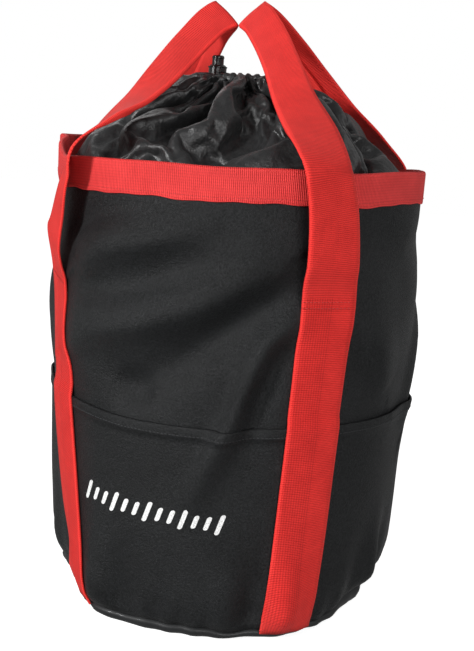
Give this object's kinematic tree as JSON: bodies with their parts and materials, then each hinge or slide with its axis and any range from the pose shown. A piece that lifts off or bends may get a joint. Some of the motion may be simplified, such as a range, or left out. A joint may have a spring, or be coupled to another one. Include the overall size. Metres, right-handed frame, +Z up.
{
  "type": "rope storage bag",
  "caption": "Round upright fabric rope bag with folding webbing carry handles, bound mouth, outer pockets and a gathered drawcord collar with a sliding cord lock.",
  "frame": {"origin": "on the floor, at the centre of the base", "axes": "+Z up through the mouth, -Y out of the front panel, +X towards the right handle as seen from the front"},
  "size_m": [0.3351, 0.3352, 0.5101],
  "materials": {
    "black_cloth": "matte coated polyester",
    "base_cloth": "matte coated polyester",
    "board": "matte",
    "seam_tape": "matte",
    "red_webbing": "ribbed webbing with a slight sheen",
    "collar_nylon": "thin glossy nylon",
    "cord": "braided",
    "lock_plastic": "gloss",
    "spring_steel": "polished"
  },
  "bodies": {
    "bag": {"body_tube": "black_cloth", "base_panel": "base_cloth", "base_board": "board", "base_seam_tape": "seam_tape", "side_seam_tape": "seam_tape", "tie_loop": "seam_tape", "pocket_front": "black_cloth", "pocket_right": "black_cloth", "pocket_back": "black_cloth", "pocket_left": "black_cloth", "rim_binding": "red_webbing", "strap_front_right": "red_webbing", "strap_back_right": "red_webbing", "strap_back_left": "red_webbing", "strap_front_left": "red_webbing"},
    "handle_right": {"handle_right": "red_webbing"},
    "handle_left": {"handle_left": "red_webbing"},
    "collar": {"collar": "collar_nylon", "collar_hem": "collar_nylon", "drawcord_ring": "cord", "drawcord_tail_a": "cord", "drawcord_tail_b": "cord", "drawcord_knot": "cord"},
    "cord_lock": {"cord_lock_body": "lock_plastic", "cord_lock_spring": "spring_steel"},
    "lock_button": {"cord_lock_button": "lock_plastic"}
  },
  "joints": [
    {"name": "handle_right_fold", "type": "hinge", "parent": "bag", "child": "handle_right", "pos_m": [0.14, 0, 0.2825], "axis": [0, 1, 0], "range_deg": [0, 175]},
    {"name": "handle_left_fold", "type": "hinge", "parent": "bag", "child": "handle_left", "pos_m": [-0.148, 0, 0.2825], "axis": [0, -1, 0], "range_deg": [0, 175]},
    {"name": "collar_tuck", "type": "slide", "parent": "bag", "child": "collar", "axis": [0, 0, 1], "range_m": [-0.05, 0]},
    {"name": "cord_lock_slide", "type": "slide", "parent": "collar", "child": "cord_lock", "axis": [-0.9272, 0.3746, 0], "range_m": [0, 0.015]},
    {"name": "lock_button_press", "type": "slide", "parent": "cord_lock", "child": "lock_button", "axis": [0, 0, -1], "range_m": [0, 0.003], "stiffness_N_per_m": 300, "deforming": ["cord_lock_spring"]}
  ]
}
